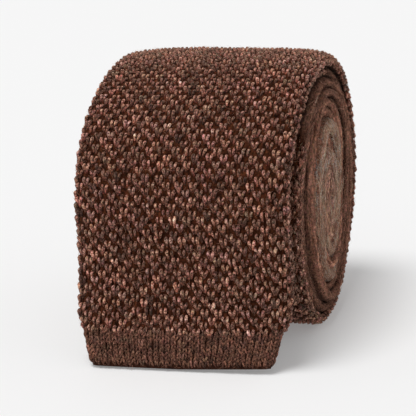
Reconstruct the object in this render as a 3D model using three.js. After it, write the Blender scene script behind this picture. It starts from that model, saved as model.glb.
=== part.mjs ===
import * as THREE from 'three';

// A knitted wool tie, folded in half at its neck and rolled up from the fold.
// Millimetres, +Z up. X runs along the axis of the roll, across the tie.
// -Y is the front, where the end of the blade hangs down to the surface.

// Widths across the tie
const bladeWidth = 65;
const neckWidth = 50;
const tailWidth = 52;
const hemTopWidth = 59.5;
const hemBottomWidth = 54.5;

// The knitted tube pressed flat: two layers of wool, thinner at the neck and in the plain hems
const stripThickness = 4.5;
const neckThickness = 3.1;
const hemThickness = 3.4;
const hemHeight = 10.5;
const seamGap = 0.3;

// The roll: its turns, and the air between two neighbouring strips
const turns = 5;
const foldTurn = 0.55;
const slackAcross = 0.45;
const slackUpright = 0.5;

// The blade drapes from the top of the roll and hangs clear of the turns behind it
const drapeGap = 8;

// How it lies: the bottom turn is pressed flat on the surface, with the layers next above it
const pressedFlat = 1.2;
const pressedLayers = 5;
const hemClearance = 0.4;

// The sides of the roll curl in towards the core, not where it is pressed flat nor at the fold
const edgeCurl = 1.65;
const curlPower = 5.8;
const curlRise = 12;

// The turns don't line up on the right: how far the furthest stands out
const edgeProud = 1.6;

// The end that hangs down swings forward, with its right side further back
const flapForward = 1.4;
const flapTwist = 2.0;

// The tail ends under the hanging blade, this far before the front of the roll
const tailEndTurn = 0.1;

const stepsPerTurn = 32;
const foldSteps = 3;

// From the core outwards: where the right edge stands, as a share of edgeProud
const edgeRows = [
  { out: 0.0, proud: 0.9 },
  { out: 0.16, proud: 0.8 },
  { out: 0.26, proud: -0.1 },
  { out: 0.4, proud: 0.8 },
  { out: 0.51, proud: -0.5 },
  { out: 0.64, proud: 0.7 },
  { out: 0.72, proud: 0.4 },
  { out: 0.83, proud: -1.0 },
  { out: 0.9, proud: -0.7 },
  { out: 0.97, proud: 0.0 },
  { out: 1.0, proud: 0.0 },
];

// Down the hanging end: drop as a share of its height, the others as shares of the named sizes
const flapRows = [
  { drop: 0.3, width: 1.0, forward: 0.09, twist: 0.1 },
  { drop: 0.6, width: 1.0, forward: 0.36, twist: 0.37 },
  { drop: 0.86, width: 0.998, forward: 0.74, twist: 0.74 },
  { drop: 0.94, width: 0.983, forward: 0.88, twist: 0.88 },
  { drop: 0.98, width: 0.962, forward: 0.96, twist: 0.96 },
  { drop: 1.0, width: 0.93, forward: 1.0, twist: 1.0 },
];

// Down a plain hem: taper runs from its top width to its bottom width, plump is its thickness
const hemRows = [
  { down: 0.0, taper: 0.0, plump: 0.92 },
  { down: 0.12, taper: 0.1, plump: 1.0 },
  { down: 0.5, taper: 0.45, plump: 1.0 },
  { down: 0.88, taper: 0.85, plump: 0.97 },
  { down: 1.0, taper: 1.0, plump: 0.7 },
];

// From the hem to the fold: how much of the narrowing to the neck is done
const bladeNarrowing = [
  { along: 0.0, narrowed: 0.0 },
  { along: 0.45, narrowed: 0.0 },
  { along: 0.8, narrowed: 0.8 },
  { along: 1.0, narrowed: 1.0 },
];

// Across the strip: places as shares of half the flat width
const acrossBlade = [-1, -0.78, -0.45, 0, 0.45, 0.78, 1];
const acrossTail = [-1, -0.6, 0.6, 1];

// Each strip lies half a pair away from its neighbour: the blade outside, the tail inside
const bladeSide = 0.25;
const tailSide = -0.25;

const outermost = turns + bladeSide;
const bottomTurn = turns - 0.75;
const bottomOut = bottomTurn + bladeSide;

// The thickness of a strip, and how far its middle lies from the core, by the turns it is out
function thicknessAt(out) {
  return THREE.MathUtils.lerp(neckThickness, stripThickness, Math.min(1, out / turns));
}

function reachAt(out, slack) {
  const growth = (stripThickness - neckThickness) / (2 * turns);
  return 2 * ((neckThickness + slack) * out + growth * out ** 2);
}

const coreHeight = reachAt(bottomOut, slackUpright) + thicknessAt(bottomOut) / 2 - pressedFlat;
const drapeReach = reachAt(turns + tailSide, slackAcross) + drapeGap + stripThickness;

const wool = { color: 0x52362c, roughness: 0.95, metalness: 0 };
const hemWool = { color: 0x4d3229, roughness: 0.95, metalness: 0 };

function readTable(rows, key, at, column) {
  const after = rows.findIndex((row) => row[key] >= at);
  if (after < 0) return rows[rows.length - 1][column];
  if (after === 0) return rows[0][column];
  const from = rows[after - 1];
  const to = rows[after];
  return THREE.MathUtils.mapLinear(at, from[key], to[key], from[column], to[column]);
}

// The middle of a strip in the roll, at a turn counted outwards from the core
function rollPoint(turn, side) {
  const angle = 2 * Math.PI * (turns - turn);
  const forward = Math.cos(angle);
  const upward = Math.sin(angle);
  const out = turn + side;
  const thickness = thicknessAt(out);
  const draped = out > outermost - 0.25;
  const y = -forward * (draped ? drapeReach : reachAt(out, slackAcross));
  const z = coreHeight + upward * reachAt(out, slackUpright);
  // The strips under the core settle on the surface, each a little less than the one below it
  const lowestOut = Math.ceil(turn - bottomTurn - 0.5) + bottomOut + side - bladeSide;
  const lowestFace = coreHeight - reachAt(lowestOut, slackUpright) - thicknessAt(lowestOut) / 2;
  const layersBelow = 2 * (bottomOut - lowestOut);
  const settled = lowestFace + pressedFlat * Math.max(0, 1 - layersBelow / pressedLayers) + thickness / 2;
  const pressed = upward < 0 && z < settled;
  return { y, z: pressed ? settled : z, pressed, out, thickness };
}

function rightEdge(out) {
  return bladeWidth / 2 + edgeProud * readTable(edgeRows, 'out', out / outermost, 'proud');
}

function curlAt(height, out) {
  const risen = THREE.MathUtils.clamp((height - stripThickness / 2) / curlRise, 0, 1);
  return edgeCurl * risen * Math.min(1, out / turns);
}

// The stations of a strip in the roll, outermost first
function rollStations(outerTurn, side, widthAt) {
  const count = Math.round((outerTurn - foldTurn) * stepsPerTurn);
  const stations = [];
  for (let i = 0; i <= count; i++) {
    const { out, ...point } = rollPoint(outerTurn - i / stepsPerTurn, side);
    const width = widthAt(i / count);
    stations.push({ ...point, width, right: rightEdge(out), curl: curlAt(point.z, out), twist: 0 });
  }
  return stations;
}

// The outward direction at each station, square to the way the strip runs
function faceOutwards(stations) {
  stations.forEach((station, i) => {
    const before = stations[Math.max(0, i - 1)];
    const after = stations[Math.min(stations.length - 1, i + 1)];
    const along = new THREE.Vector2(after.y - before.y, after.z - before.z).normalize();
    station.out = station.pressed ? new THREE.Vector2(0, -1) : new THREE.Vector2(-along.y, along.x);
  });
  return stations;
}

// Half of the tight bend that joins the two strips at the fold
function foldStations(outerEnd, innerEnd, isBlade) {
  const across = new THREE.Vector2(outerEnd.y - innerEnd.y, outerEnd.z - innerEnd.z);
  const radius = across.length() / 2;
  across.normalize();
  const inward = new THREE.Vector2(across.y, -across.x);
  const middleY = (outerEnd.y + innerEnd.y) / 2;
  const middleZ = (outerEnd.z + innerEnd.z) / 2;
  const quarter = Math.PI / 2 - seamGap / 2 / radius;
  const end = isBlade ? outerEnd : innerEnd;
  const stations = [];
  for (let i = 1; i <= foldSteps; i++) {
    const swing = (quarter * i) / foldSteps;
    const away = isBlade ? Math.cos(swing) : -Math.cos(swing);
    const direction = across.clone().multiplyScalar(away).addScaledVector(inward, Math.sin(swing));
    stations.push({
      ...end,
      y: middleY + radius * direction.x,
      z: middleZ + radius * direction.y,
      pressed: false,
      out: isBlade ? direction : direction.clone().negate(),
    });
  }
  return stations;
}

// One cross-section of a strip: flat faces, half-round edges and the curl of its two sides
function sectionRing(station, places) {
  const half = station.width / 2;
  const edge = station.thickness / 2;
  const flat = half - edge;
  const middle = station.right - half;
  const slant = Math.SQRT1_2 * edge;
  const outline = [
    ...places.map((place) => [place * flat, edge]),
    [flat + slant, slant],
    [half, 0],
    [flat + slant, -slant],
    ...places.map((place) => [-place * flat, -edge]),
    [-flat - slant, -slant],
    [-half, 0],
    [-flat - slant, slant],
  ];
  return outline.map(([across, offset]) => {
    const x = middle + across;
    const side = THREE.MathUtils.clamp(x / (bladeWidth / 2), -1, 1);
    const proud = offset - station.curl * Math.abs(side) ** curlPower;
    const y = station.y + station.out.x * proud + station.twist * side;
    return new THREE.Vector3(x, y, station.z + station.out.y * proud);
  });
}

// A closed solid through all the sections, with a flat cap on each end
function stripGeometry(stations, places) {
  const rings = stations.map((station) => sectionRing(station, places));
  const size = rings[0].length;
  const positions = rings.flat().flatMap((point) => point.toArray());
  const faces = [];
  for (let row = 0; row < rings.length - 1; row++) {
    for (let i = 0; i < size; i++) {
      const next = (i + 1) % size;
      const a = row * size + i;
      const b = row * size + next;
      faces.push(a, b, b + size, a, b + size, a + size);
    }
  }
  const first = stations[0];
  const flatOutline = rings[0].map((point) => {
    const proud = (point.y - first.y) * first.out.x + (point.z - first.z) * first.out.y;
    return new THREE.Vector2(point.x, proud);
  });
  const lastRow = (rings.length - 1) * size;
  for (const [a, b, c] of THREE.ShapeUtils.triangulateShape(flatOutline, [])) {
    faces.push(a, b, c, lastRow + a, lastRow + c, lastRow + b);
  }
  const geometry = new THREE.BufferGeometry();
  geometry.setAttribute('position', new THREE.Float32BufferAttribute(positions, 3));
  geometry.setIndex(faces);
  return geometry;
}

function flapStations() {
  const seamHeight = hemClearance + hemHeight + seamGap;
  const drop = coreHeight - seamHeight;
  return flapRows.map((row) => ({
    y: -drapeReach - flapForward * row.forward,
    z: coreHeight - drop * row.drop,
    width: bladeWidth * row.width,
    right: (bladeWidth * row.width) / 2,
    thickness: stripThickness,
    curl: edgeCurl,
    twist: flapTwist * row.twist,
    pressed: false,
  }));
}

function bladeStations() {
  const widthAt = (along) =>
    bladeWidth - (bladeWidth - neckWidth) * readTable(bladeNarrowing, 'along', along, 'narrowed');
  return faceOutwards([...flapStations().reverse(), ...rollStations(turns, bladeSide, widthAt)]);
}

function makeBlade() {
  const stations = bladeStations();
  const innerEnd = rollStations(foldTurn, tailSide, () => neckWidth)[0];
  const fold = foldStations(stations[stations.length - 1], innerEnd, true);
  return stripGeometry([...stations, ...fold], acrossBlade);
}

function tailStations() {
  const widthAt = (along) => THREE.MathUtils.lerp(tailWidth, neckWidth, along);
  return faceOutwards(rollStations(turns + tailEndTurn, tailSide, widthAt));
}

function makeTail() {
  const stations = tailStations();
  const outerEnd = rollStations(foldTurn, bladeSide, () => neckWidth)[0];
  const fold = foldStations(outerEnd, stations[stations.length - 1], false);
  return stripGeometry([...stations, ...fold], acrossTail);
}

// A plain hem carries straight on from the end of a strip
function makeHem(end, topWidth, bottomWidth, places) {
  const away = new THREE.Vector2(-end.out.y, end.out.x);
  const rows = hemRows.map((row) => {
    const reach = seamGap + hemHeight * row.down;
    const width = THREE.MathUtils.lerp(topWidth, bottomWidth, row.taper);
    return {
      ...end,
      y: end.y + away.x * reach,
      z: end.z + away.y * reach,
      width,
      right: end.right - end.width / 2 + width / 2,
      thickness: hemThickness * row.plump,
    };
  });
  return stripGeometry(rows.reverse(), places);
}

function makeBladeHem() {
  const end = bladeStations()[0];
  return makeHem(end, hemTopWidth, hemBottomWidth, acrossBlade);
}

function makeTailHem() {
  const end = tailStations()[0];
  const narrowing = tailWidth / bladeWidth;
  return makeHem(end, hemTopWidth * narrowing, hemBottomWidth * narrowing, acrossTail);
}

function addPiece(group, name, geometry, finish) {
  geometry.computeVertexNormals();
  const piece = new THREE.Mesh(geometry, new THREE.MeshStandardMaterial(finish));
  piece.name = name;
  group.add(piece);
}

const tie = new THREE.Group();
addPiece(tie, 'blade', makeBlade(), wool);
addPiece(tie, 'blade_hem', makeBladeHem(), hemWool);
addPiece(tie, 'tail', makeTail(), wool);
addPiece(tie, 'tail_hem', makeTailHem(), hemWool);

// The origin is the middle of the bottom
const box = new THREE.Box3().setFromObject(tie);
const middle = box.getCenter(new THREE.Vector3());
tie.position.set(-middle.x, -middle.y, -box.min.z);

export default tie;
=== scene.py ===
import math

import bpy
import numpy as np
from mathutils import Matrix, Vector


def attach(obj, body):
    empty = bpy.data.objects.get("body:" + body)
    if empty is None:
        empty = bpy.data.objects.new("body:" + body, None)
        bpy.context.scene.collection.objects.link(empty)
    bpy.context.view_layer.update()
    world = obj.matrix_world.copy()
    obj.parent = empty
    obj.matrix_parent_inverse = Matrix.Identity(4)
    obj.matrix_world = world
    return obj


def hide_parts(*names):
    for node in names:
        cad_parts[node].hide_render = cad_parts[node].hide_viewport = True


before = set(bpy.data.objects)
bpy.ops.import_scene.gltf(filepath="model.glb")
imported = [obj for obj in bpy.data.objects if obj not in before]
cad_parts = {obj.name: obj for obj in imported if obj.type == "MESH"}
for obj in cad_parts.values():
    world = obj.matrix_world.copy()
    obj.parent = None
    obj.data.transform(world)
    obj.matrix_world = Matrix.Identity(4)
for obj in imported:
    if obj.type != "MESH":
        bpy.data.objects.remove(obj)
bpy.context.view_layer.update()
print("frame loaded")

scene = bpy.context.scene
mm = 0.001

# Camera, in mm and degrees, with its centre in pixels of the picture and its reach in m
cameraSettings = {
    "target": (0.1, -0.35, 40.0),
    "distance": 500.0,
    "turned": 18.25,
    "raised": 15.3,
    "roll": -2.8,
    "focalPixels": 1605.0,
    "centrePixels": (223.2, 195.1),
    "picturePixels": 416,
    "sensorWidth": 36,
    "seesFromTo": (0.01, 20),
}


def makeCamera(settings):
    turned = math.radians(settings["turned"])
    raised = math.radians(settings["raised"])
    roll = math.radians(settings["roll"])
    level = math.cos(raised)
    back = Vector((math.sin(turned) * level, -math.cos(turned) * level, math.sin(raised)))
    right = Vector((math.cos(turned), math.sin(turned), 0))
    up = back.cross(right)
    rolledRight = right * math.cos(roll) + up * math.sin(roll)
    rolledUp = up * math.cos(roll) - right * math.sin(roll)
    place = (Vector(settings["target"]) + back * settings["distance"]) * mm
    data = bpy.data.cameras.new("tieCamera")
    camera = bpy.data.objects.new("tieCamera", data)
    scene.collection.objects.link(camera)
    axes = Matrix((rolledRight, rolledUp, back)).transposed()
    camera.matrix_world = Matrix.Translation(place) @ axes.to_4x4()
    pixels = settings["picturePixels"]
    data.sensor_width = settings["sensorWidth"]
    data.lens = settings["focalPixels"] / pixels * settings["sensorWidth"]
    data.shift_x = -(settings["centrePixels"][0] - pixels / 2) / pixels
    data.shift_y = (settings["centrePixels"][1] - pixels / 2) / pixels
    data.clip_start, data.clip_end = settings["seesFromTo"]
    scene.camera = camera


makeCamera(cameraSettings)
print("camera made")

# The rolled tie in mm, with the solids' sizes apart from the core, the fold and the set-backs
tieRoll = {
    "bladeWidth": 65.0,
    "neckWidth": 50.0,
    "tailWidth": 52.0,
    "stripThickness": 4.5,
    "neckThickness": 3.1,
    "coreSwell": 0.9,
    "coreSwellOut": 1.3,
    "turns": 5,
    "foldTurn": 0.36,
    "bladeSide": 0.25,
    "tailSide": -0.25,
    "slackAcross": 0.45,
    "slackUpright": 0.5,
    "drapeGap": 8.0,
    "drapeThickness": 3.6,
    "drapeSetBack": 2.0,
    "drapeFullness": 0.86,
    "rollSetBack": 0.07,
    "pressedFlat": 1.2,
    "pressedLayers": 5,
    "hemClearance": 0.4,
    "hemHeight": 10.5,
    "hemThickness": 3.4,
    "hemTopWidth": 59.5,
    "hemBottomWidth": 54.5,
    "seamGap": 0.3,
    "edgeCurl": 1.65,
    "curlPower": 5.8,
    "curlRise": 12.0,
    "edgeProud": 1.6,
    "flapForward": 2.6,
    "flapTwist": 2.0,
    "tailEndTurn": 0.1,
    "tailSetBack": 2.2,
    "tailSetBackLeast": 0.15,
    "tailSetBackReach": 30.0,
    "shift": (0.096, 7.716),
    "stepsPerTurn": 160,
    "stepsDown": 60,
    "stepsRoundFold": 24,
    "stepsDownHem": 40,
    "stripStep": 1.0,
}
# How far out in the roll, and how much of edgeProud the right edge stands out there
edgeRows = (
    (0, .16, .26, .4, .51, .64, .72, .83, .9, .97, 1),
    (.9, .8, -.1, .8, -.5, .7, .4, -1, -.7, 0, 0),
)
# How far down the hanging end, and its width, lean forward and twist there
flapDrops = (0, .3, .6, .86, .94, .98, 1)
flapWidths = (1, 1, 1, .988, .968, .948, .92)
flapForwards = (0, .09, .36, .74, .88, .96, 1)
flapTwists = (0, .1, .37, .8, 1, 1.1, 1.2)
# How far along the blade, and how far it has narrowed to the neck
narrowing = ((0, .45, .8, 1), (0, 0, .8, 1))
# How far down a hem, its taper and its thickness there
hemRows = ((0, .12, .5, .88, 1), (0, .1, .45, .85, 1), (.92, 1, 1, .97, .7))

turns = tieRoll["turns"]
bottomTurn = turns - 0.75  # the blade's lowest place, three quarters of a turn in
bottomOut = bottomTurn + tieRoll["bladeSide"]
outermost = turns + tieRoll["bladeSide"]
thickening = tieRoll["stripThickness"] - tieRoll["neckThickness"]
drapeThinning = tieRoll["stripThickness"] - tieRoll["drapeThickness"]


def thicknessAt(out):  # the innermost turns swell to fill the core
    even = tieRoll["neckThickness"] + thickening * min(1, out / turns)
    return even + tieRoll["coreSwell"] * max(0, tieRoll["coreSwellOut"] - out)


def reachAt(out, slack):  # how far from the core's middle the strip lies, from its turn
    growth = thickening / (2 * turns)
    return 2 * ((tieRoll["neckThickness"] + slack) * out + growth * out ** 2)


coreHeight = (reachAt(bottomOut, tieRoll["slackUpright"])
              + thicknessAt(bottomOut) / 2 - tieRoll["pressedFlat"])
drapeReach = (reachAt(turns + tieRoll["tailSide"], tieRoll["slackAcross"])
              + tieRoll["drapeGap"] + tieRoll["stripThickness"] - tieRoll["drapeSetBack"])


def curlAt(height, out):
    risen = min(1, max(0, (height - tieRoll["stripThickness"] / 2) / tieRoll["curlRise"]))
    return tieRoll["edgeCurl"] * risen * min(1, out / turns)


# One place along a strip: y, z, width, right edge, curl, twist, thickness, how far out
def rollStation(turn, side, width):
    angle = 2 * math.pi * (turns - turn)
    out = turn + side
    thickness = thicknessAt(out)
    forward = math.cos(angle)
    reach = reachAt(out, tieRoll["slackAcross"]) * (1 - tieRoll["rollSetBack"] * max(0, forward))
    if out > outermost - 0.25:  # the last quarter turn drapes clear of the roll
        thinned = max(0, forward) * drapeThinning
        thickness -= thinned
        reach = drapeReach * max(1e-6, forward) ** (tieRoll["drapeFullness"] - 1) + thinned / 2
    y = -forward * reach
    z = coreHeight + math.sin(angle) * reachAt(out, tieRoll["slackUpright"])
    lowestOut = math.ceil(turn - bottomTurn - 0.5) + bottomTurn + side
    lowestFace = coreHeight - reachAt(lowestOut, tieRoll["slackUpright"]) - thicknessAt(lowestOut) / 2
    layersBelow = 2 * (bottomOut - lowestOut)
    pressed = tieRoll["pressedFlat"] * max(0, 1 - layersBelow / tieRoll["pressedLayers"])
    settled = lowestFace + pressed + thickness / 2
    if math.sin(angle) < 0:
        z = max(z, settled)
    proud = tieRoll["edgeProud"] * np.interp(out / outermost, *edgeRows)
    right = tieRoll["bladeWidth"] / 2 + proud
    return (y, z, width, right, curlAt(z, out), 0, thickness, out)


def foldBend(outerEnd, innerEnd):  # half a turn from the blade's inner end to the tail's
    middle = ((outerEnd[0] + innerEnd[0]) / 2, (outerEnd[1] + innerEnd[1]) / 2)
    across = (outerEnd[0] - middle[0], outerEnd[1] - middle[1])
    bend = []
    steps = tieRoll["stepsRoundFold"]
    for i in range(1, steps):
        swing = math.pi * i / steps
        y = middle[0] + across[0] * math.cos(swing) + across[1] * math.sin(swing)
        z = middle[1] + across[1] * math.cos(swing) - across[0] * math.sin(swing)
        bend.append((y, z, *outerEnd[2:]))
    return bend


def unit(vectors):
    return vectors / np.maximum(1e-6, np.linalg.norm(vectors, axis=-1))[..., None]


# Arrays along the strip, with its length and its outward direction
def layStrip(stations, smoothing=5):
    table = np.array(stations, dtype=float)
    steps = np.hypot(np.diff(table[:, 0]), np.diff(table[:, 1]))
    length = np.concatenate(([0], np.cumsum(steps)))
    even = np.linspace(0, length[-1], max(8, int(length[-1] / tieRoll["stripStep"])))
    table = np.stack([np.interp(even, length, column) for column in table.T], axis=1)
    along = unit(np.gradient(table[:, :2], axis=0))
    if smoothing:
        padded = np.pad(along, ((smoothing, smoothing), (0, 0)), mode="edge")
        window = np.ones(2 * smoothing + 1) / (2 * smoothing + 1)
        along = unit(np.stack([np.convolve(column, window, "valid") for column in padded.T], axis=1))
    return {
        "length": even, "y": table[:, 0], "z": table[:, 1], "width": table[:, 2], "right": table[:, 3],
        "curl": table[:, 4], "twist": table[:, 5], "thickness": table[:, 6], "out": table[:, 7],
        "outY": -along[:, 1], "outZ": along[:, 0],
    }


def layBlade():
    seamHeight = tieRoll["hemClearance"] + tieRoll["hemHeight"] + tieRoll["seamGap"]
    stations = []
    for drop in np.linspace(1, 0.02, tieRoll["stepsDown"]):
        forward = tieRoll["flapForward"] * np.interp(drop, flapDrops, flapForwards)
        width = tieRoll["bladeWidth"] * np.interp(drop, flapDrops, flapWidths)
        stations.append((
            -drapeReach - drapeThinning / 2 - forward,
            coreHeight - (coreHeight - seamHeight) * drop,
            width,
            width / 2,
            tieRoll["edgeCurl"],
            tieRoll["flapTwist"] * np.interp(drop, flapDrops, flapTwists),
            tieRoll["drapeThickness"],
            outermost,
        ))
    count = int((turns - tieRoll["foldTurn"]) * tieRoll["stepsPerTurn"])
    for i in range(count + 1):
        narrowed = np.interp(i / count, *narrowing)
        width = tieRoll["bladeWidth"] - (tieRoll["bladeWidth"] - tieRoll["neckWidth"]) * narrowed
        stations.append(rollStation(turns - i / tieRoll["stepsPerTurn"], tieRoll["bladeSide"], width))
    innerEnd = rollStation(tieRoll["foldTurn"], tieRoll["tailSide"], tieRoll["neckWidth"])
    return layStrip(stations + foldBend(stations[-1], innerEnd))


def layTail():
    outerTurn = turns + tieRoll["tailEndTurn"]
    count = int((outerTurn - tieRoll["foldTurn"]) * tieRoll["stepsPerTurn"])
    stations = []
    for i in range(count + 1):
        width = tieRoll["tailWidth"] + (tieRoll["neckWidth"] - tieRoll["tailWidth"]) * i / count
        station = list(rollStation(outerTurn - i / tieRoll["stepsPerTurn"], tieRoll["tailSide"], width))
        least = tieRoll["tailSetBackLeast"]
        inFront = np.clip(-station[0] / tieRoll["tailSetBackReach"], 0, 1)
        station[3] -= tieRoll["tailSetBack"] * (least + (1 - least) * inFront)
        stations.append(station)
    return layStrip(stations)


# A plain hem runs straight on from the strip's end, its own length counted from its free edge
def layHem(strip, scale):
    away = np.array((-strip["outZ"][0], strip["outY"][0]))
    rows = []
    narrower = tieRoll["hemBottomWidth"] - tieRoll["hemTopWidth"]
    for down in np.linspace(1, 0, tieRoll["stepsDownHem"]):
        reach = tieRoll["seamGap"] + tieRoll["hemHeight"] * down
        width = (tieRoll["hemTopWidth"] + narrower * np.interp(down, hemRows[0], hemRows[1])) * scale
        rows.append((
            strip["y"][0] + away[0] * reach,
            strip["z"][0] + away[1] * reach,
            width,
            strip["right"][0] - strip["width"][0] / 2 + width / 2,
            strip["curl"][0],
            strip["twist"][0],
            tieRoll["hemThickness"] * np.interp(down, hemRows[0], hemRows[2]),
            strip["out"][0],
        ))
    return layStrip(rows, 0)


# The inner turns are pressed into a tall oval, the outermost stays as it is
squeezed = {"taller": 1.1, "narrower": 0.36, "reach": 45.0}


def squeezeCore(y, z):
    high = z - coreHeight
    inward = np.clip(1 - np.hypot(y, high) / squeezed["reach"], 0, 1) ** 2
    taller = 1 + squeezed["taller"] * inward
    return y * (1 - squeezed["narrower"] * inward), coreHeight + high * taller


# The whole tie gives a little, in mm, so nothing runs dead straight
handling = {
    "sideways": 0.55,
    "inOut": 0.5,
    "upDown": 0.35,
    "firmBelow": 25.0,
    "tuckedUnder": 6.5,
    "tuckedBelow": 24.0,
    "tuckedBehind": 40.0,
    "hemLifted": 1.2,
    "hemLiftedReach": 28.0,
    "hemLiftedFrom": -30.0,
    "hemLiftedOver": 10.0,
    "lowest": 0.02,
    # Two waves each: the lengths they bend over in two directions, where they start, their share
    "waves": {
        "sideways": ((9.5, 21, 0.6, 0.5), (-17, 8, 2.1, 0.5)),
        "inOut": ((13, 19, 1.2, 0.6), (7.1, -11, 4.0, 0.4)),
        "upDown": ((11, 23, 0.3, 0.6), (6.3, 15, 2.7, 0.4)),
    },
}


def waved(direction, first, second):
    waves = handling["waves"][direction]
    total = sum(np.sin(first / one + second / other + start) * share
                for one, other, start, share in waves)
    return handling[direction] * total


def give(points):
    x, y, z = points[..., 0], points[..., 1], points[..., 2]
    lifted = np.clip(z / handling["firmBelow"], 0, 1)
    moved = np.stack((
        x + waved("sideways", z, y),
        y + waved("inOut", x, z) * lifted,
        z + waved("upDown", x, y) * lifted,
    ), axis=-1)
    # The hem's right corner is lifted level
    reach = handling["hemLiftedReach"]
    inFront = np.clip((handling["hemLiftedFrom"] - y) / handling["hemLiftedOver"], 0, 1)
    moved[..., 2] += (handling["hemLifted"] * np.clip(x / reach, 0, 1)
                      * np.clip((reach - z) / reach, 0, 1) * inFront)
    # The roll's back is tucked under
    low = np.clip((handling["tuckedBelow"] - z) / handling["tuckedBelow"], 0, 1)
    moved[..., 1] -= handling["tuckedUnder"] * low * np.clip(y / handling["tuckedBehind"], 0, 1)
    moved[..., 2] = np.maximum(moved[..., 2], handling["lowest"])
    return moved


# A place on the knitted tube: along its length, round its section from the middle of the
# outer face, and raised off its surface
def onTube(strip, along, around, raised):
    shape = np.broadcast(along, around, raised).shape
    along, around, raised = (np.broadcast_to(a, shape) for a in (along, around, raised))
    read = {key: np.interp(along, strip["length"], strip[key]) for key in strip}
    size = np.hypot(read["outY"], read["outZ"])
    outY, outZ = read["outY"] / size, read["outZ"] / size
    spare = along - np.clip(along, 0, strip["length"][-1])  # past its ends a strip runs straight on
    read["y"] = read["y"] + spare * outZ
    read["z"] = read["z"] - spare * outY
    edge = read["thickness"] / 2
    flat = read["width"] / 2 - edge
    place = np.abs(around)
    sign = np.where(around < 0, -1.0, 1.0)
    swing = np.clip((place - flat) / edge, 0, math.pi)
    inner = np.maximum(0, place - flat - math.pi * edge)
    x = sign * (np.minimum(place, flat) - inner + (edge + raised) * np.sin(swing))
    off = (edge + raised) * np.cos(swing)
    x = read["right"] - read["width"] / 2 + x
    side = np.clip(x / (tieRoll["bladeWidth"] / 2), -1, 1)
    proud = off - read["curl"] * np.abs(side) ** tieRoll["curlPower"]
    y = read["y"] + outY * proud + read["twist"] * side
    z = read["z"] + outZ * proud
    y, z = squeezeCore(y, z)
    return give(np.stack((x + tieRoll["shift"][0], y + tieRoll["shift"][1], z), axis=-1))


def girthAt(strip, along):
    width = np.interp(along, strip["length"], strip["width"])
    thickness = np.interp(along, strip["length"], strip["thickness"])
    return 2 * (width - thickness) + math.pi * thickness


def edgePlace(strip, along):
    width = np.interp(along, strip["length"], strip["width"])
    thickness = np.interp(along, strip["length"], strip["thickness"])
    return (width - thickness) / 2 + math.pi * thickness / 4


blade = layBlade()
tail = layTail()
bladeHem = layHem(blade, 1)
tailHem = layHem(tail, tieRoll["tailWidth"] / tieRoll["bladeWidth"])
bladeLength = blade["length"][-1]
tailLength = tail["length"][-1]
print("strips laid, blade", round(bladeLength), "mm, tail", round(tailLength), "mm")


# Mesh from points in mm and faces, with a colour and a place along the yarn for each point
def makePiece(name, points, faces, material, colours, yarn):
    mesh = bpy.data.meshes.new(name)
    mesh.from_pydata((points.reshape(-1, 3) * mm).tolist(), [], faces)
    mesh.polygons.foreach_set("use_smooth", np.ones(len(mesh.polygons), dtype=bool))
    if colours is not None:
        layer = mesh.color_attributes.new("yarnColour", "FLOAT_COLOR", "POINT")
        full = np.concatenate((colours, np.ones((len(colours), 1))), axis=1)
        layer.data.foreach_set("color", full.astype(np.float32).ravel())
    corners = np.zeros(len(mesh.loops), dtype=np.int32)
    mesh.loops.foreach_get("vertex_index", corners)
    uvLayer = mesh.uv_layers.new(name="alongYarn")
    uvLayer.data.foreach_set("uv", yarn[corners].astype(np.float32).ravel())
    mesh.materials.append(material)
    mesh.update()
    piece = bpy.data.objects.new(name, mesh)
    scene.collection.objects.link(piece)
    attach(piece, "root")
    return piece


# Yarn colours: mostly brown, with the flecks of a mixed wool and each one's share
yarnMix = {
    "brown": (0.244, 0.112, 0.076),
    "lightness": 0.20,
    "hue": 0.025,
    "darkestLightest": (0.01, 0.9),
    "flecks": (
        ((0.300, 0.150, 0.114), 0.07),
        ((0.275, 0.142, 0.094), 0.04),
        ((0.215, 0.116, 0.078), 0.03),
        ((0.240, 0.104, 0.078), 0.04),
        ((0.120, 0.055, 0.038), 0.08),
    ),
}


def yarnColours(count, chance, lighten=1.0):
    colours = np.tile(np.array(yarnMix["brown"]), (count, 1))
    pick = chance.random(count)
    start = 0.0
    for fleck, share in yarnMix["flecks"]:
        chosen = (pick >= start) & (pick < start + share)
        colours[chosen] = fleck
        start += share
    colours *= np.exp(chance.normal(0, yarnMix["lightness"], (count, 1)))
    colours *= np.exp(chance.normal(0, yarnMix["hue"], (count, 3)))
    return np.clip(colours * lighten, *yarnMix["darkestLightest"])


# Rings of points round each tube's middle line
def tubePoints(centres, radius, across, outward, sides, lowest):
    turn = (np.arange(sides) * 2 * math.pi / sides)[None, None, :, None]
    ring = np.cos(turn) * across[:, :, None, :] + np.sin(turn) * outward[:, :, None, :]
    points = centres[:, :, None, :] + radius[:, :, None, None] * ring
    points[..., 2] = np.maximum(points[..., 2], lowest)
    return points.reshape(-1, 3)


# Faces of closed tubes that all have the same number of rings and sides
def tubeFaces(count, rings, sides):
    ring = np.arange(rings - 1)[:, None]
    corner = np.arange(sides)[None, :]
    following = (corner + 1) % sides
    quads = np.stack((
        ring * sides + corner,
        ring * sides + following,
        (ring + 1) * sides + following,
        (ring + 1) * sides + corner,
    ), axis=-1).reshape(-1, 4)
    first = (np.arange(count) * rings * sides)[:, None, None]
    faces = (first + quads[None]).reshape(-1, 4).tolist()
    faces += (first[:, :, 0] + np.arange(sides)[::-1][None, :]).tolist()
    faces += (first[:, :, 0] + (rings - 1) * sides + np.arange(sides)[None, :]).tolist()
    return faces


# How unevenly the yarn is knitted: share of size, mm of lift, sideways lean; and in mm
# how low it may lie
uneven = {"size": 0.10, "lift": 0.08, "lean": 0.12, "lowest": 0.01}
aboveYarn = 0.3  # mm, how far above the yarn its outward direction is measured


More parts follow.
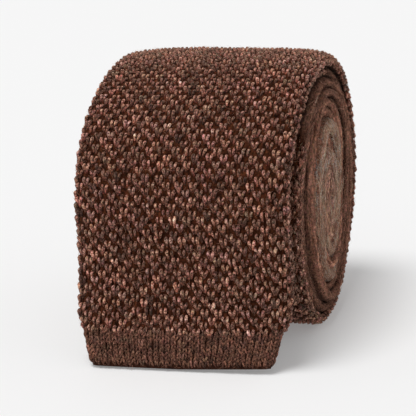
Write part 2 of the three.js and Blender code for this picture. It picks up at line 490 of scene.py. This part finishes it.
# Tubes of yarn that all follow one bent path, each at its own place on a strip.
# path columns: sideways, down towards the strip's own end, raised, radius
def yarnTubes(strip, along, around, mirror, path, sides, chance):
    count = len(along)
    wobble = np.exp(chance.normal(0, uneven["size"], (count, 1)))
    lift = chance.normal(0, uneven["lift"], (count, 1))
    lean = chance.normal(0, uneven["lean"], (count, 1))
    down = path[None, :, 1] * wobble
    aside = path[None, :, 0] * mirror + lean * path[None, :, 1]
    raised = path[None, :, 2] + lift
    radius = path[None, :, 3] * wobble
    centres = onTube(strip, along[:, None] - down, around[:, None] + aside, raised)
    above = onTube(strip, along[:, None] - down, around[:, None] + aside, raised + aboveYarn)
    course = unit(np.gradient(centres, axis=1))
    across = unit(np.cross(course, unit(above - centres)))
    outward = np.cross(across, course)
    points = tubePoints(centres, radius, across, outward, sides, uneven["lowest"])
    rings = len(path)
    run = np.broadcast_to(np.linspace(0, 1, rings)[None, :, None], (count, rings, sides))
    aroundYarn = np.broadcast_to((np.arange(sides) / sides)[None, None, :], (count, rings, sides))
    offset = chance.random(count)[:, None, None]
    yarn = np.stack((run + offset, aroundYarn), axis=-1).reshape(-1, 2)
    return points, tubeFaces(count, rings, sides), yarn


# Painted light and shade on the yarn: it is painted lighter where it stands proud, a painted highlight
# where the light falls, and darker and redder deep down, painted shade.
# A leg starts at full height and its painted highlight fades towards its foot.
paintedLightByDepth = {
    "deep": (0.34, 0.10, 0.04),
    "proud": (0.88, 1.16, 1.28),
    "paintedTopHighlight": 1.12,
    "paintedFootShade": 0.40,
    "fadeFrom": 0.2,
    "fadeOver": 1.6,
}


def paintLightAndShadeByDepth(colours, path, sides):
    raised = path[:, 2]
    high = np.clip((raised - raised.min()) / (raised.max() - raised.min()), 0, 1)
    low = np.clip((path[:, 1] - paintedLightByDepth["fadeFrom"]) / paintedLightByDepth["fadeOver"], 0, 1)
    high = high * (paintedLightByDepth["paintedTopHighlight"] - paintedLightByDepth["paintedFootShade"] * low)
    shade = np.array(paintedLightByDepth["deep"]) + np.array(paintedLightByDepth["proud"]) * high[:, None]
    shaded = colours[:, None, None, :] * shade[None, :, None, :]
    return np.broadcast_to(shaded, (len(colours), len(path), sides, 3)).reshape(-1, 3)


def joinTubes(parts):
    points, faces, yarn, colours = [], [], [], []
    start = 0
    for partPoints, partFaces, partYarn, partColours in parts:
        points.append(partPoints)
        faces += [[corner + start for corner in face] for face in partFaces]
        yarn.append(partYarn)
        colours.append(partColours)
        start += len(partPoints)
    return np.concatenate(points), faces, np.concatenate(yarn), np.concatenate(colours)


# Looks of the wool: yarn and loose fibres, the felted sides, the ground behind the hems, painted dark
# as painted shade.
# Scales are per metre, in felt per mm; a ramp is two places and the two colours there.
woolLooks = {
    "plyTurns": 3.2,
    "plyDepth": 0.35,
    "fibreScale": 1900.0,
    "fibreDetail": 5,
    "fibreRough": 0.65,
    "fibreRamp": (0.45, 0.57),
    "fibreColours": ((0.26, 0.17, 0.13), (1.82, 1.99, 2.03)),
    "speckScale": 1500.0,
    "speckDetail": 3,
    "speckContrast": 1.7,
    "speckHue": 0.22,
    "roughness": 0.92,
    "specular": 0.2,
    "sheen": 0.5,
    "sheenRoughness": 0.4,
    "sheenTint": (0.84, 0.54, 0.38),
    "bumpStrength": 0.6,
    "bumpDistance": 0.00012,
}
feltLooks = {
    "streakAlong": 0.16,
    "streakAround": 0.85,
    "streakDetail": 6,
    "streakRough": 0.65,
    "streakDistortion": 0.4,
    "streakRamp": (0.36, 0.64),
    "streakColours": ((0.30, 0.22, 0.19), (1.70, 1.72, 1.75)),
    "streakStrength": 0.9,
    "speckDepth": 0.6,
    "roughness": 0.95,
    "specular": 0.05,
    "sheen": 0.08,
    "bumpStrength": 0.8,
    "bumpDistance": 0.0003,
}
# Painted shade: near-black colours of the ground between the hems' stitches
groundLooks = {
    "strandScale": 900,
    "strandDetail": 4,
    "strandRamp": (0.35, 0.68),
    "strandColours": ((0.022, 0.006, 0.003), (0.058, 0.021, 0.011)),
    "roughness": 1.0,
    "specular": 0.1,
    "bumpStrength": 0.7,
    "bumpDistance": 0.0003,
}


def setInputs(node, settings):
    for socket, value in settings.items():
        node.inputs[socket].default_value = value


def shaderNodes(name):
    material = bpy.data.materials.new(name)
    material.use_nodes = True
    nodes = material.node_tree.nodes
    links = material.node_tree.links
    return material, nodes, links, nodes["Principled BSDF"]


def mathNode(nodes, operation, *values):
    node = nodes.new("ShaderNodeMath")
    node.operation = operation
    for socket, value in zip(node.inputs, values):
        if value is not None:
            socket.default_value = value
    return node


def noiseAt(nodes, links, placeSocket, settings):
    noise = nodes.new("ShaderNodeTexNoise")
    setInputs(noise, settings)
    links.new(placeSocket, noise.inputs["Vector"])
    return noise


def rampFrom(nodes, links, valueSocket, places, colours):
    ramp = nodes.new("ShaderNodeValToRGB")
    for element, place, colour in zip(ramp.color_ramp.elements, places, colours):
        element.position = place
        element.color = (*colour, 1)
    links.new(valueSocket, ramp.inputs["Fac"])
    return ramp.outputs["Color"]


def mixedColour(nodes, links, blend, share, underSocket, overSocket):
    mixed = nodes.new("ShaderNodeMix")
    mixed.data_type = "RGBA"
    mixed.blend_type = blend
    mixed.inputs["Factor"].default_value = share
    links.new(underSocket, mixed.inputs["A"])
    links.new(overSocket, mixed.inputs["B"])
    return mixed.outputs["Result"]


def addBump(nodes, links, heightSocket, surface, looks):
    bump = nodes.new("ShaderNodeBump")
    bump.inputs["Strength"].default_value = looks["bumpStrength"]
    bump.inputs["Distance"].default_value = looks["bumpDistance"]
    links.new(heightSocket, bump.inputs["Height"])
    links.new(bump.outputs["Normal"], surface.inputs["Normal"])


def setSurface(surface, looks, sheen=0.0):
    surface.inputs["Roughness"].default_value = looks["roughness"]
    surface.inputs["Specular IOR Level"].default_value = looks["specular"]
    if sheen:
        surface.inputs["Sheen Weight"].default_value = sheen
        surface.inputs["Sheen Roughness"].default_value = woolLooks["sheenRoughness"]
        surface.inputs["Sheen Tint"].default_value = (*woolLooks["sheenTint"], 1)


# The piece's own colour for each point, multiplied by a ramp
def ownColour(nodes, links, share, rampSocket):
    colour = nodes.new("ShaderNodeAttribute")
    colour.attribute_name = "yarnColour"
    return mixedColour(nodes, links, "MULTIPLY", share, colour.outputs["Color"], rampSocket)


# Fine light and dark specks laid over a colour, with a little of other colours as in a mixed wool
def speckled(nodes, links, colourSocket, depth):
    place = nodes.new("ShaderNodeTexCoord")
    specks = noiseAt(nodes, links, place.outputs["Object"], {
        "Scale": woolLooks["speckScale"], "Detail": woolLooks["speckDetail"],
    })
    for output, share in (("Fac", 1), ("Color", woolLooks["speckHue"])):
        stronger = nodes.new("ShaderNodeBrightContrast")
        stronger.inputs["Contrast"].default_value = woolLooks["speckContrast"]
        links.new(specks.outputs[output], stronger.inputs["Color"])
        colourSocket = mixedColour(
            nodes, links, "OVERLAY", depth * share, colourSocket, stronger.outputs["Color"])
    return colourSocket


def yarnWool(name, sheen, fleckStrength, speckDepth):
    material, nodes, links, surface = shaderNodes(name)
    setSurface(surface, woolLooks, sheen)
    place = nodes.new("ShaderNodeTexCoord")
    fibres = noiseAt(nodes, links, place.outputs["Object"], {
        "Scale": woolLooks["fibreScale"], "Detail": woolLooks["fibreDetail"],
        "Roughness": woolLooks["fibreRough"],
    })
    ramp = rampFrom(nodes, links, fibres.outputs["Fac"],
                    woolLooks["fibreRamp"], woolLooks["fibreColours"])
    flecked = ownColour(nodes, links, fleckStrength, ramp)
    links.new(speckled(nodes, links, flecked, speckDepth), surface.inputs["Base Color"])
    # Twisted ply, from the place along and round the yarn
    yarnPlace = nodes.new("ShaderNodeUVMap")
    yarnPlace.uv_map = "alongYarn"
    split = nodes.new("ShaderNodeSeparateXYZ")
    links.new(yarnPlace.outputs["UV"], split.inputs["Vector"])
    run = mathNode(nodes, "MULTIPLY", None, woolLooks["plyTurns"])
    links.new(split.outputs["X"], run.inputs[0])
    total = mathNode(nodes, "ADD")
    links.new(run.outputs[0], total.inputs[0])
    links.new(split.outputs["Y"], total.inputs[1])
    angle = mathNode(nodes, "MULTIPLY", None, 4 * math.pi)
    links.new(total.outputs[0], angle.inputs[0])
    ply = mathNode(nodes, "SINE")
    links.new(angle.outputs[0], ply.inputs[0])
    height = mathNode(nodes, "MULTIPLY_ADD", None, woolLooks["plyDepth"])
    links.new(ply.outputs[0], height.inputs[0])
    links.new(fibres.outputs["Fac"], height.inputs[2])
    addBump(nodes, links, height.outputs[0], surface, woolLooks)
    return material


# Felted wool: the colour of its place, streaked by fibres that run along the cloth
def feltWool(name):
    material, nodes, links, surface = shaderNodes(name)
    setSurface(surface, feltLooks, feltLooks["sheen"])
    place = nodes.new("ShaderNodeUVMap")
    place.uv_map = "alongYarn"
    stretch = nodes.new("ShaderNodeMapping")
    stretch.inputs["Scale"].default_value = (feltLooks["streakAlong"], feltLooks["streakAround"], 1)
    links.new(place.outputs["UV"], stretch.inputs["Vector"])
    streaks = noiseAt(nodes, links, stretch.outputs["Vector"], {
        "Scale": 1.0, "Detail": feltLooks["streakDetail"],
        "Roughness": feltLooks["streakRough"], "Distortion": feltLooks["streakDistortion"],
    })
    ramp = rampFrom(nodes, links, streaks.outputs["Fac"],
                    feltLooks["streakRamp"], feltLooks["streakColours"])
    streaked = ownColour(nodes, links, feltLooks["streakStrength"], ramp)
    links.new(speckled(nodes, links, streaked, feltLooks["speckDepth"]), surface.inputs["Base Color"])
    addBump(nodes, links, streaks.outputs["Fac"], surface, feltLooks)
    return material


# The ground behind the hems' stitches: deeper yarn painted near-black, as painted shade between the
# stitches
def paintedShadeGroundWool(name):
    material, nodes, links, surface = shaderNodes(name)
    setSurface(surface, groundLooks)
    place = nodes.new("ShaderNodeTexCoord")
    strands = noiseAt(nodes, links, place.outputs["Object"], {
        "Scale": groundLooks["strandScale"], "Detail": groundLooks["strandDetail"],
    })
    ramp = rampFrom(nodes, links, strands.outputs["Fac"],
                    groundLooks["strandRamp"], groundLooks["strandColours"])
    links.new(ramp, surface.inputs["Base Color"])
    addBump(nodes, links, strands.outputs["Fac"], surface, groundLooks)
    return material


# Each yarn's sheen, how strongly its fibres fleck it, and how deep its specks are
mossWool = yarnWool("mossWool", woolLooks["sheen"], 0.85, 0.65)
plainWool = yarnWool("plainWool", 0.12, 0.7, 0.3)
strayWool = yarnWool("strayWool", 0.5, 0.3, 0.2)
feltedWool = feltWool("feltedWool")
hemPaintedShadeGround = paintedShadeGroundWool("hemPaintedShadeGround")
print("wool made")

# The cloth itself: a closed flattened tube, set in and painted near-black behind the stitches as
# painted shade between them, and felted and pale along the sides of the roll. Lengths are in mm.
clothSettings = {
    "setIn": 0.5,
    "feltedSetIn": 0.12,
    "hemSetIn": 0.45,
    "stepAlong": 1.0,
    "hemStepAlong": 0.7,
    "stepsAround": 44,
    # Painted shade: the near-black brown of the cloth behind the stitches
    "dark": (0.046, 0.014, 0.006),
    "felted": (0.160, 0.077, 0.051),
    "feltedOver": 6.0,
    "edgeFeltedFrom": 0.3,
    "edgeFeltedOver": 1.2,
    "edgeFeltedFade": 20.0,
    "ripple": 0.16,
    "rippleAlong": 1.95,
    "rippleAround": 2.13,
    "inwardPower": 1.7,
    "crestInside": 0.9,
    "crestWidth": 1.5,
    # Painted shade between the crests and painted light on them; each at the outer turns, then its
    # change inward
    "paintedShadeBetweenCrests": (0.06, 0.30),
    "paintedLightOnCrests": (1.34, -0.50),
    "coreLighter": 7.0,
    "coreGreyer": (0.98, 1.01, 1.03),
    # The palest the felt may be, on the crests; between them it is capped lower, as painted shade
    "palest": (0.62, 0.375, 0.285),
    "palestBetween": 0.45,
}


# Felted where the roll's sides show: the inner turns all over, the outer turn on its edges
def feltedShare(strip, along, around, stitchedTo):
    inside = np.clip((along - stitchedTo) / clothSettings["feltedOver"], 0, 1)
    pastEdge = np.abs(around) - edgePlace(strip, along) - clothSettings["edgeFeltedFrom"]
    onEdge = np.clip(pastEdge / clothSettings["edgeFeltedOver"], 0, 1)
    fade = np.clip((along - stitchedTo / 3) / clothSettings["edgeFeltedFade"], 0, 1)
    return np.maximum(inside, onEdge * fade)


# Painted light on the crests along the strip's edges and painted shade between them, paler and greyer
# towards the core
def feltedColour(strip, along, around, lighten):
    out = np.interp(along, strip["length"], strip["out"])
    inward = (1 - out / outermost) ** clothSettings["inwardPower"]
    pastEdge = np.abs(around) - edgePlace(strip, along) + clothSettings["crestInside"]
    crest = np.exp(-(pastEdge / clothSettings["crestWidth"]) ** 2)
    between, betweenInward = clothSettings["paintedShadeBetweenCrests"]
    onCrest, onCrestInward = clothSettings["paintedLightOnCrests"]
    light = between + betweenInward * inward + (onCrest + onCrestInward * inward) * crest
    light = (1 + clothSettings["coreLighter"] * inward) * light
    greyer = 1 + (np.array(clothSettings["coreGreyer"]) - 1) * inward[..., None]
    pale = np.array(clothSettings["felted"]) * light[..., None] * greyer * lighten
    least = clothSettings["palestBetween"]
    palest = np.array(clothSettings["palest"]) * (least + (1 - least) * crest[..., None])
    return np.minimum(pale, palest)


def clothTube(name, strip, material, stitchedTo=None, lighten=1.0):
    step = clothSettings["stepAlong" if stitchedTo else "hemStepAlong"]
    rows = max(6, int(strip["length"][-1] / step))
    along = np.linspace(0, strip["length"][-1], rows)
    shares = np.linspace(-0.5, 0.5, clothSettings["stepsAround"], endpoint=False)
    around = shares[None, :] * girthAt(strip, along)[:, None]
    colours = None
    if stitchedTo:
        felted = feltedShare(strip, along[:, None], around, stitchedTo)
        ripple = clothSettings["ripple"] * np.sin(
            along[:, None] * math.pi / clothSettings["rippleAlong"]
            + around * math.pi / clothSettings["rippleAround"])
        shallower = (clothSettings["feltedSetIn"] - clothSettings["setIn"]) * felted
        raised = ripple * felted - (clothSettings["setIn"] + shallower)
        pale = feltedColour(strip, along[:, None], around, lighten)
        felted = felted[..., None]
        # Painted shade behind the stitches, the felted colour on the sides
        colours = np.array(clothSettings["dark"]) * (1 - felted) + pale * felted
        colours = colours.reshape(-1, 3)
    else:
        raised = -clothSettings["hemSetIn"]
    points = onTube(strip, along[:, None], around, raised)
    yarn = np.stack(np.broadcast_arrays(along[:, None], around), axis=-1).reshape(-1, 2)
    sides = len(shares)
    ring = np.arange(rows - 1)[:, None]
    corner = np.arange(sides)[None, :]
    following = (corner + 1) % sides
    faces = np.stack((
        ring * sides + corner,
        (ring + 1) * sides + corner,
        (ring + 1) * sides + following,
        ring * sides + following,
    ), axis=-1).reshape(-1, 4).tolist()
    faces.append(list(range(sides)))
    faces.append([(rows - 1) * sides + i for i in range(sides)][::-1])
    return makePiece(name, points, faces, material, colours, yarn)


# How far along a strip it first lies on a turn of the roll
def lengthAtTurn(strip, outerTurn):
    side = tieRoll["bladeSide"] if strip is blade else tieRoll["tailSide"]
    past = np.nonzero(strip["out"] - side <= outerTurn)[0]
    return strip["length"][past[0]]


# The turns where the drape leaves the roll, where the next turn hides the outer one's
# stitches, and where the core's fibres start
turnMarks = {"drape": 4.72, "hidden": 3.9, "core": 2.5}
drapeEnd = lengthAtTurn(blade, turnMarks["drape"])
outerEnd = lengthAtTurn(blade, turnMarks["hidden"])
tailShown = lengthAtTurn(tail, turnMarks["drape"])
# The tail lies in the hanging end's shadow: its cloth and stitches are painted darker, a painted shadow
tailPaintedShadow = 0.7

# The blade's and tail's cloth carries painted shade behind their stitches
bladeCloth = clothTube("bladeCloth", blade, feltedWool, outerEnd)
tailCloth = clothTube("tailCloth", tail, feltedWool, tailShown, tailPaintedShadow)
bladeHemCloth = clothTube("bladeHemCloth", bladeHem, hemPaintedShadeGround)
tailHemCloth = clothTube("tailHemCloth", tailHem, hemPaintedShadeGround)
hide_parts("blade")
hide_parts("tail")
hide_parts("blade_hem")
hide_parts("tail_hem")
print("cloth behind the stitches made")

# Moss stitch: every bump is a pair of short legs, spread at the top and dipping towards the end
mossStitch = {
    "columnsRound": 64,
    "row": 1.95,
    "firstRow": 0.9,
    "seed": 11,
    "jitter": (0.17, 0.13),
    "legLightness": 0.17,
    "pastEdge": 1.3,
    # sideways, down, raised, radius
    "leg": np.array((
        (0.64, -0.46, -0.80, 0.33),
        (0.74, -0.18, -0.32, 0.43),
        (0.70, 0.22, -0.06, 0.48),
        (0.58, 0.68, -0.22, 0.46),
        (0.46, 1.18, -0.44, 0.42),
        (0.34, 2.05, -0.68, 0.36),
    )),
}


def outerFace(strip, along, around):
    return np.abs(around) <= edgePlace(strip, along) + mossStitch["pastEdge"]


def innerFace(strip, along, around):
    return ~outerFace(strip, along, around)


# One grid of rows and columns runs the whole strip, so two pieces meet without a seam
def mossPlaces(strip, start, end, onFace):
    places = []
    columns = mossStitch["columnsRound"]
    for column in range(columns):
        share = (column + 0.5) / columns - 0.5
        first = mossStitch["firstRow"] + (column % 2) * mossStitch["row"]
        along = np.arange(first, end, 2 * mossStitch["row"])
        along = along[along >= start]
        around = share * girthAt(strip, along)
        kept = onFace(strip, along, around)
        places.append(np.stack((along[kept], around[kept]), axis=1))
    return np.concatenate(places)


def makeMoss(name, strip, places, sides, path, seed, lighten=1.0):
    chance = np.random.default_rng(mossStitch["seed"] + seed)
    places = places + chance.normal(0, 1, places.shape) * np.array(mossStitch["jitter"])
    colours = yarnColours(len(places), chance, lighten)
    parts = []
    for mirror in (-1.0, 1.0):
        tubes = yarnTubes(strip, places[:, 0], places[:, 1], mirror, path, sides, chance)
        legColours = colours * np.exp(chance.normal(0, mossStitch["legLightness"], (len(places), 1)))
        # Painted highlight on the legs' tops and painted shade deep down
        parts.append((*tubes, paintLightAndShadeByDepth(legColours, path, sides)))
    points, faces, yarn, colours = joinTubes(parts)
    return makePiece(name, points, faces, mossWool, colours, yarn)


# Name, strip, places, sides of the yarn, leg, seed, lighter
fullLeg = mossStitch["leg"]
simpleLeg = fullLeg[[0, 1, 2, 4, 5]]
bladeFront = makeMoss(
    "bladeFrontStitches", blade, mossPlaces(blade, 0, drapeEnd, outerFace), 6, fullLeg, 1)
bladeRound = makeMoss(
    "bladeRoundStitches", blade, mossPlaces(blade, drapeEnd, outerEnd, outerFace), 5, fullLeg, 2)
bladeBehind = makeMoss(
    "bladeBehindStitches", blade, mossPlaces(blade, 0, drapeEnd, innerFace), 4, simpleLeg, 3)
# The tail's stitches are painted darker as painted shadow
tailFace = makeMoss(
    "tailFaceStitches", tail, mossPlaces(tail, 0, tailShown, outerFace), 4, simpleLeg, 6, tailPaintedShadow)
print("moss stitches made")

# Plain stitch of the hems: small nested Vs in straight columns, over a smooth cast-on edge
plainStitch = {
    "column": 1.8,
    "row": 1.22,
    "firstRow": 2.7,
    "pastSeam": 1.6,
    "jitter": 0.05,
    "tint": (0.55, 0.51, 0.47),
    "seed": 40,
    "leg": np.array((
        (0.72, -0.30, -0.55, 0.26),
        (0.68, 0.10, -0.16, 0.33),
        (0.50, 0.75, -0.10, 0.35),
        (0.30, 1.35, -0.22, 0.32),
        (0.16, 1.80, -0.55, 0.25),
    )),
}


def makePlain(name, strip, sides, seed):
    chance = np.random.default_rng(plainStitch["seed"] + seed)
    girth = girthAt(strip, strip["length"][-1])
    columns = int(round(girth / plainStitch["column"] / 2)) * 2
    lastRow = strip["length"][-1] + plainStitch["pastSeam"]
    rows = np.arange(plainStitch["firstRow"], lastRow, plainStitch["row"])
    places = []
    for column in range(columns):
        share = (column + 0.5) / columns - 0.5
        places.append(np.stack((rows, share * girthAt(strip, rows)), axis=1))
    places = np.concatenate(places)
    places = places + chance.normal(0, plainStitch["jitter"], places.shape)
    colours = yarnColours(len(places), chance) * np.array(plainStitch["tint"])
    leg = plainStitch["leg"]
    parts = []
    for mirror in (-1.0, 1.0):
        tubes = yarnTubes(strip, places[:, 0], places[:, 1], mirror, leg, sides, chance)
        # Painted highlight on the legs' tops and painted shade deep down
        parts.append((*tubes, paintLightAndShadeByDepth(colours, leg, sides)))
    points, faces, yarn, colours = joinTubes(parts)
    return makePiece(name, points, faces, plainWool, colours, yarn)


makePlain("bladeHemStitches", bladeHem, 5, 1)
makePlain("tailHemStitches", tailHem, 4, 2)
print("hem stitches made")

# Loose fibres that stand off the wool, thickest on the rolled side and along the top.
# Those of the sides are combed: they lie along the strip. Lengths are in mm.
strayFibres = {
    "front": 1300,
    "round": 4800,
    "rightOuter": 4500,
    "rightInner": 3500,
    "leftSide": 1500,
    "hem": 250,
    "loose": {"thick": 0.042, "lift": 0.25},
    "combed": {"thick": 0.05, "lift": 0.09, "across": 0.4, "lightness": 0.55},
    "shortest": 0.35,
    "bend": 0.9,
    "rooted": -0.2,
    "liftSpread": 1.2,
    "liftPower": 1.3,
    "tipThinner": 0.75,
    "rings": (0, 0.33, 0.68, 1.0),
    "sides": 3,
    "lowest": 0.005,
    "palest": 0.8,
    "seed": 70,
}


def fibreTubes(strip, along, around, longest, combed, chance):
    count = len(along)
    kind = strayFibres["combed" if combed else "loose"]
    shortest = strayFibres["shortest"]
    length = longest * (shortest + (1 - shortest) * chance.random((count, 1)))
    heading = chance.random((count, 1)) * 2 * math.pi
    if combed:
        heading = np.where(heading > math.pi, 0.5, -0.5) * math.pi
        heading = heading + chance.normal(0, kind["across"], (count, 1))
    bend = chance.normal(0, strayFibres["bend"], (count, 1))
    share = np.array(strayFibres["rings"])[None, :]
    angle = heading + bend * share
    aside = length * share * np.cos(angle)
    down = length * share * np.sin(angle)
    steeper = 1 + strayFibres["liftSpread"] * chance.random((count, 1))
    raised = strayFibres["rooted"] + length * kind["lift"] * steeper * share ** strayFibres["liftPower"]
    centres = onTube(strip, along[:, None] + down, around[:, None] + aside, raised)
    radius = kind["thick"] * (1 - strayFibres["tipThinner"] * share) * np.ones((count, 1))
    course = unit(np.gradient(centres, axis=1))
    aslant = np.broadcast_to(np.array((0.37, 0.53, 0.76)), course.shape)
    across = unit(np.cross(course, aslant))
    rings, sides = share.size, strayFibres["sides"]
    points = tubePoints(centres, radius, across, np.cross(course, across), sides, strayFibres["lowest"])
    return points, tubeFaces(count, rings, sides), np.zeros((len(points), 2))


def makeFibres(name, groups, seed):
    chance = np.random.default_rng(strayFibres["seed"] + seed)
    parts = []
    for strip, start, end, side, spread, count, longest, lighten in groups:
        along = start + (end - start) * chance.random(count)
        around = spread * (2 * chance.random(count) - 1)
        if side:
            around = side * (edgePlace(strip, along) + around)
        points, faces, yarn = fibreTubes(strip, along, around, longest, side != 0, chance)
        colours = yarnColours(count, chance, np.array(lighten))
        if side:
            colours = colours * np.exp(chance.normal(0, strayFibres["combed"]["lightness"], (count, 1)))
        colours = np.clip(colours, yarnMix["darkestLightest"][0], strayFibres["palest"])
        parts.append((points, faces, yarn, np.repeat(colours, len(points) // count, axis=0)))
    points, faces, yarn, colours = joinTubes(parts)
    return makePiece(name, points, faces, strayWool, colours, yarn)


outerEach = strayFibres["rightOuter"] // 2
leftEach = strayFibres["leftSide"] // 2
innerTurns = lengthAtTurn(blade, turnMarks["core"])
innerLighter = (3.7, 4.1, 4.25)

# Strip, from, to, side (0 is the outer face), spread, how many, longest, lighter
frontFibres = makeFibres("frontFibres", (
    (blade, 2, drapeEnd, 0, 34, strayFibres["front"], 2.4, 1.5),
    # Over the top of the roll the loose fibres are painted much lighter, a painted highlight along the
    # lit rim
    (blade, drapeEnd - 25, outerEnd, 0, 34, strayFibres["round"], 2.4, 4.2),
), 0)
makeFibres("rightSideFibres", (
    (blade, drapeEnd, bladeLength - 1, 1, 1.7, outerEach, 4.6, 1.2),
    (tail, tailShown, tailLength - 1, 1, 1.7, outerEach, 4.6, 1.0),
    (blade, innerTurns, bladeLength - 1, 1, 2.4, strayFibres["rightInner"], 6.0, innerLighter),
), 1)
makeFibres("leftSideFibres", (
    (blade, 2, bladeLength - 3, -1, 2.6, leftEach, 4.0, 1.6),
    (tail, 2, tailLength - 3, -1, 2.6, leftEach, 4.0, 1.4),
), 2)
makeFibres("hemFibres", (
    (bladeHem, 0.3, 10, 0, 30, strayFibres["hem"], 1.8, 1.4),
), 3)
print("loose fibres made")

# Pale floor and soft studio light
studio = {
    "floorSize": 6.0,
    "floorColour": (0.72, 0.72, 0.72),
    "floorGlow": 0.208,
    "floorRoughness": 0.9,
    "skyStrength": 0.40,
    "sunStrength": 2.0,
    "sunAngle": 28.0,
    "sunFrom": (-0.18, -0.28, 1.0),
}


def makeStudio(settings):
    half = settings["floorSize"] / 2
    corners = [(-half, -half, 0), (half, -half, 0), (half, half, 0), (-half, half, 0)]
    mesh = bpy.data.meshes.new("paleFloor")
    mesh.from_pydata(corners, [], [(0, 1, 2, 3)])
    material, nodes, links, surface = shaderNodes("paleFloor")
    setInputs(surface, {
        "Base Color": (*settings["floorColour"], 1),
        "Emission Color": (1, 1, 1, 1),
        "Emission Strength": settings["floorGlow"],
    })
    surface.inputs["Roughness"].default_value = settings["floorRoughness"]
    mesh.materials.append(material)
    floor = bpy.data.objects.new("paleFloor", mesh)
    scene.collection.objects.link(floor)
    world = bpy.data.worlds.new("studioRoom")
    world.use_nodes = True
    background = world.node_tree.nodes["Background"]
    background.inputs["Color"].default_value = (1, 1, 1, 1)
    background.inputs["Strength"].default_value = settings["skyStrength"]
    scene.world = world
    sunData = bpy.data.lights.new("softSun", "SUN")
    sunData.energy = settings["sunStrength"]
    sunData.angle = math.radians(settings["sunAngle"])
    sun = bpy.data.objects.new("softSun", sunData)
    sun.rotation_mode = "QUATERNION"
    sun.rotation_quaternion = Vector(settings["sunFrom"]).to_track_quat("Z", "Y")
    scene.collection.objects.link(sun)
    scene.view_settings.view_transform = "Standard"


makeStudio(studio)
print("studio made")
